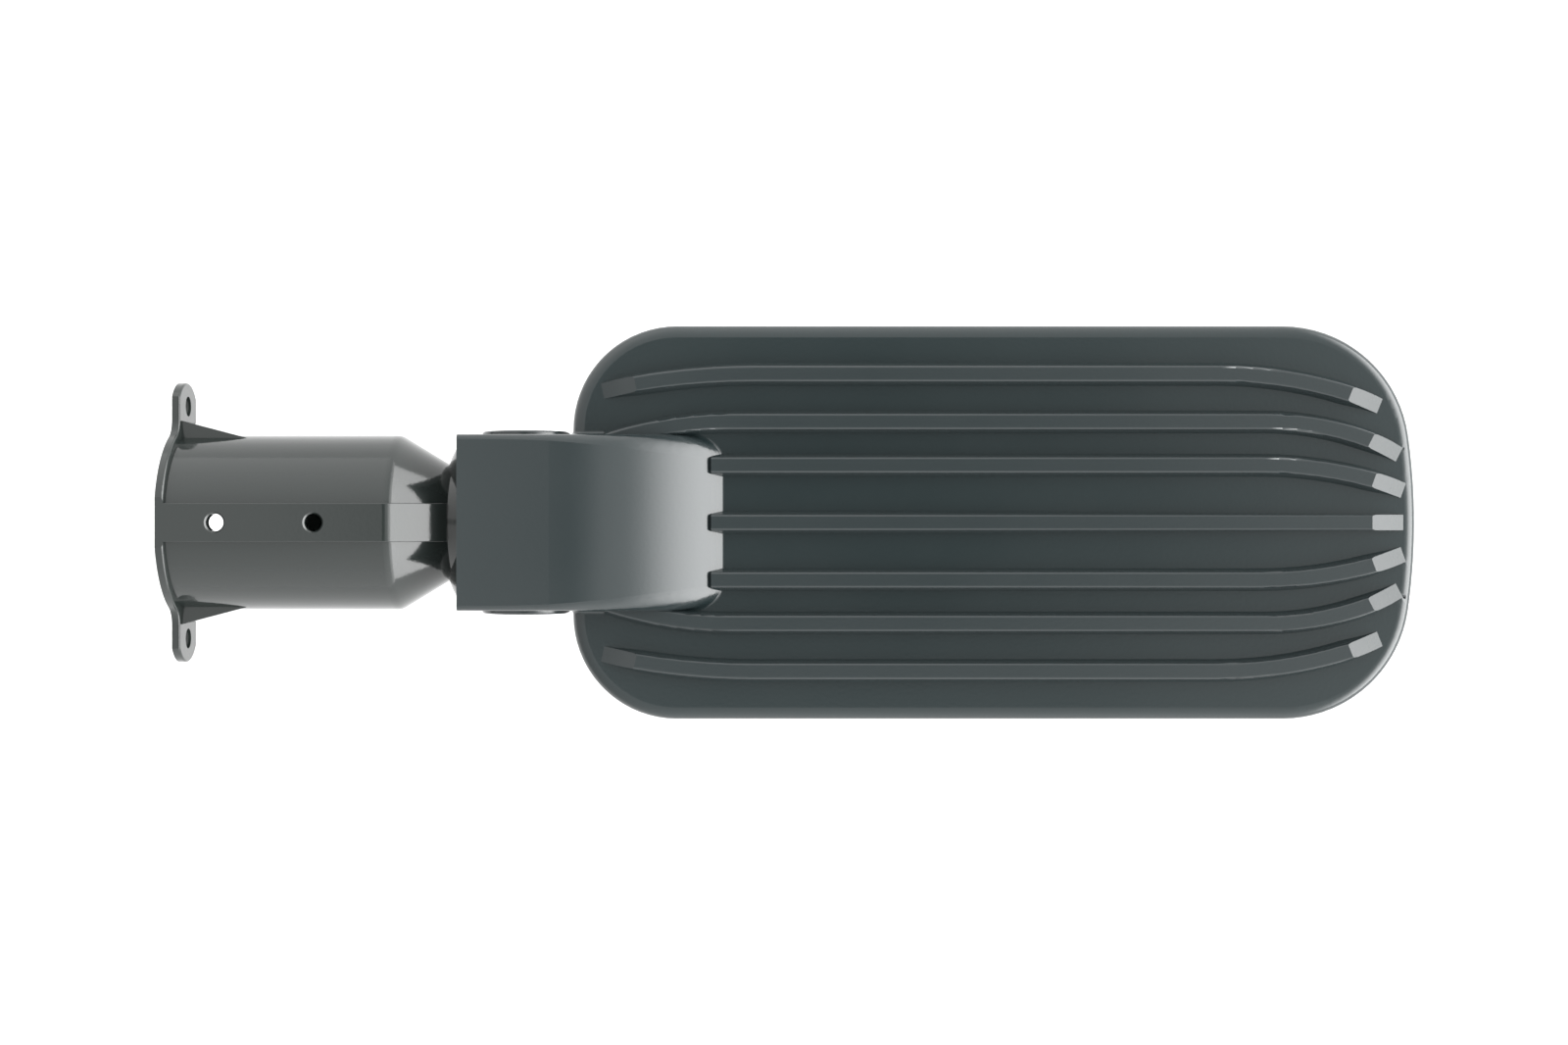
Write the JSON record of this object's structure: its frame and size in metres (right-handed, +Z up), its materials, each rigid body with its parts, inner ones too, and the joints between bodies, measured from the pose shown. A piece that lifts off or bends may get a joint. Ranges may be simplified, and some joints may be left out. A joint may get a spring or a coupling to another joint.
{
  "type": "led street light head",
  "caption": "Finned die-cast LED street light head with a blended arm hump, tilting on a drum knuckle at the end of a tubular pole and wall adaptor with ears.",
  "frame": {"origin": "centre of the pole socket's mouth, in the plane of the wall flange's face", "axes": "+X runs from the pole through the knuckle to the far end of the head, +Y is across, +Z is up and the light leaves towards -Z"},
  "size_m": [0.4931, 0.1572, 0.0728],
  "materials": {
    "housing_paint": "semi-gloss dark grey-green powder coat on die-cast aluminium",
    "adaptor_paint": "semi-gloss dark grey powder coat on cast aluminium",
    "cover_paint": "semi-gloss dark grey-green powder coat on aluminium",
    "bolt_zinc": "dark zinc-coated steel",
    "screw_stainless": "stainless steel",
    "board_white": "white solder mask on an aluminium core",
    "led_phosphor": "yellow phosphor over the light source",
    "lens_clear": "clear moulded polycarbonate",
    "silicone_grey": "foamed silicone",
    "rubber_black": "moulded rubber",
    "gland_nylon": "moulded nylon",
    "driver_case": "plain aluminium case, potted inside",
    "surge_case": "potted plastic case",
    "terminal_nylon": "moulded nylon",
    "brass_plain": "plain brass"
  },
  "bodies": {
    "adaptor": {"adaptor": "adaptor_paint"},
    "head": {"board_screws": "screw_stainless", "breather_plug": "gland_nylon", "cover_gasket": "silicone_grey", "cover_screws": "screw_stainless", "driver": "driver_case", "driver_cover": "cover_paint", "driver_screws": "screw_stainless", "earth_screw": "screw_stainless", "earth_washer": "brass_plain", "gland_body": "gland_nylon", "gland_dome_nut": "gland_nylon", "gland_seal": "rubber_black", "housing": "housing_paint", "led_board": "board_white", "led_chips": "led_phosphor", "lens_gasket": "silicone_grey", "lens_plate": "lens_clear", "lens_screws": "screw_stainless", "surge_protector": "surge_case", "surge_screw": "screw_stainless", "terminal_block": "terminal_nylon", "terminal_clamp_screws": "brass_plain", "terminal_screw": "screw_stainless", "tilt_bolt": "bolt_zinc", "tilt_nut": "bolt_zinc", "wire_grommet": "rubber_black"}
  },
  "joints": [
    {"name": "tilt", "type": "hinge", "parent": "adaptor", "child": "head", "pos_m": [0.1388, 0, 0], "axis": [0, 1, 0], "range_deg": [-15, 90]}
  ]
}
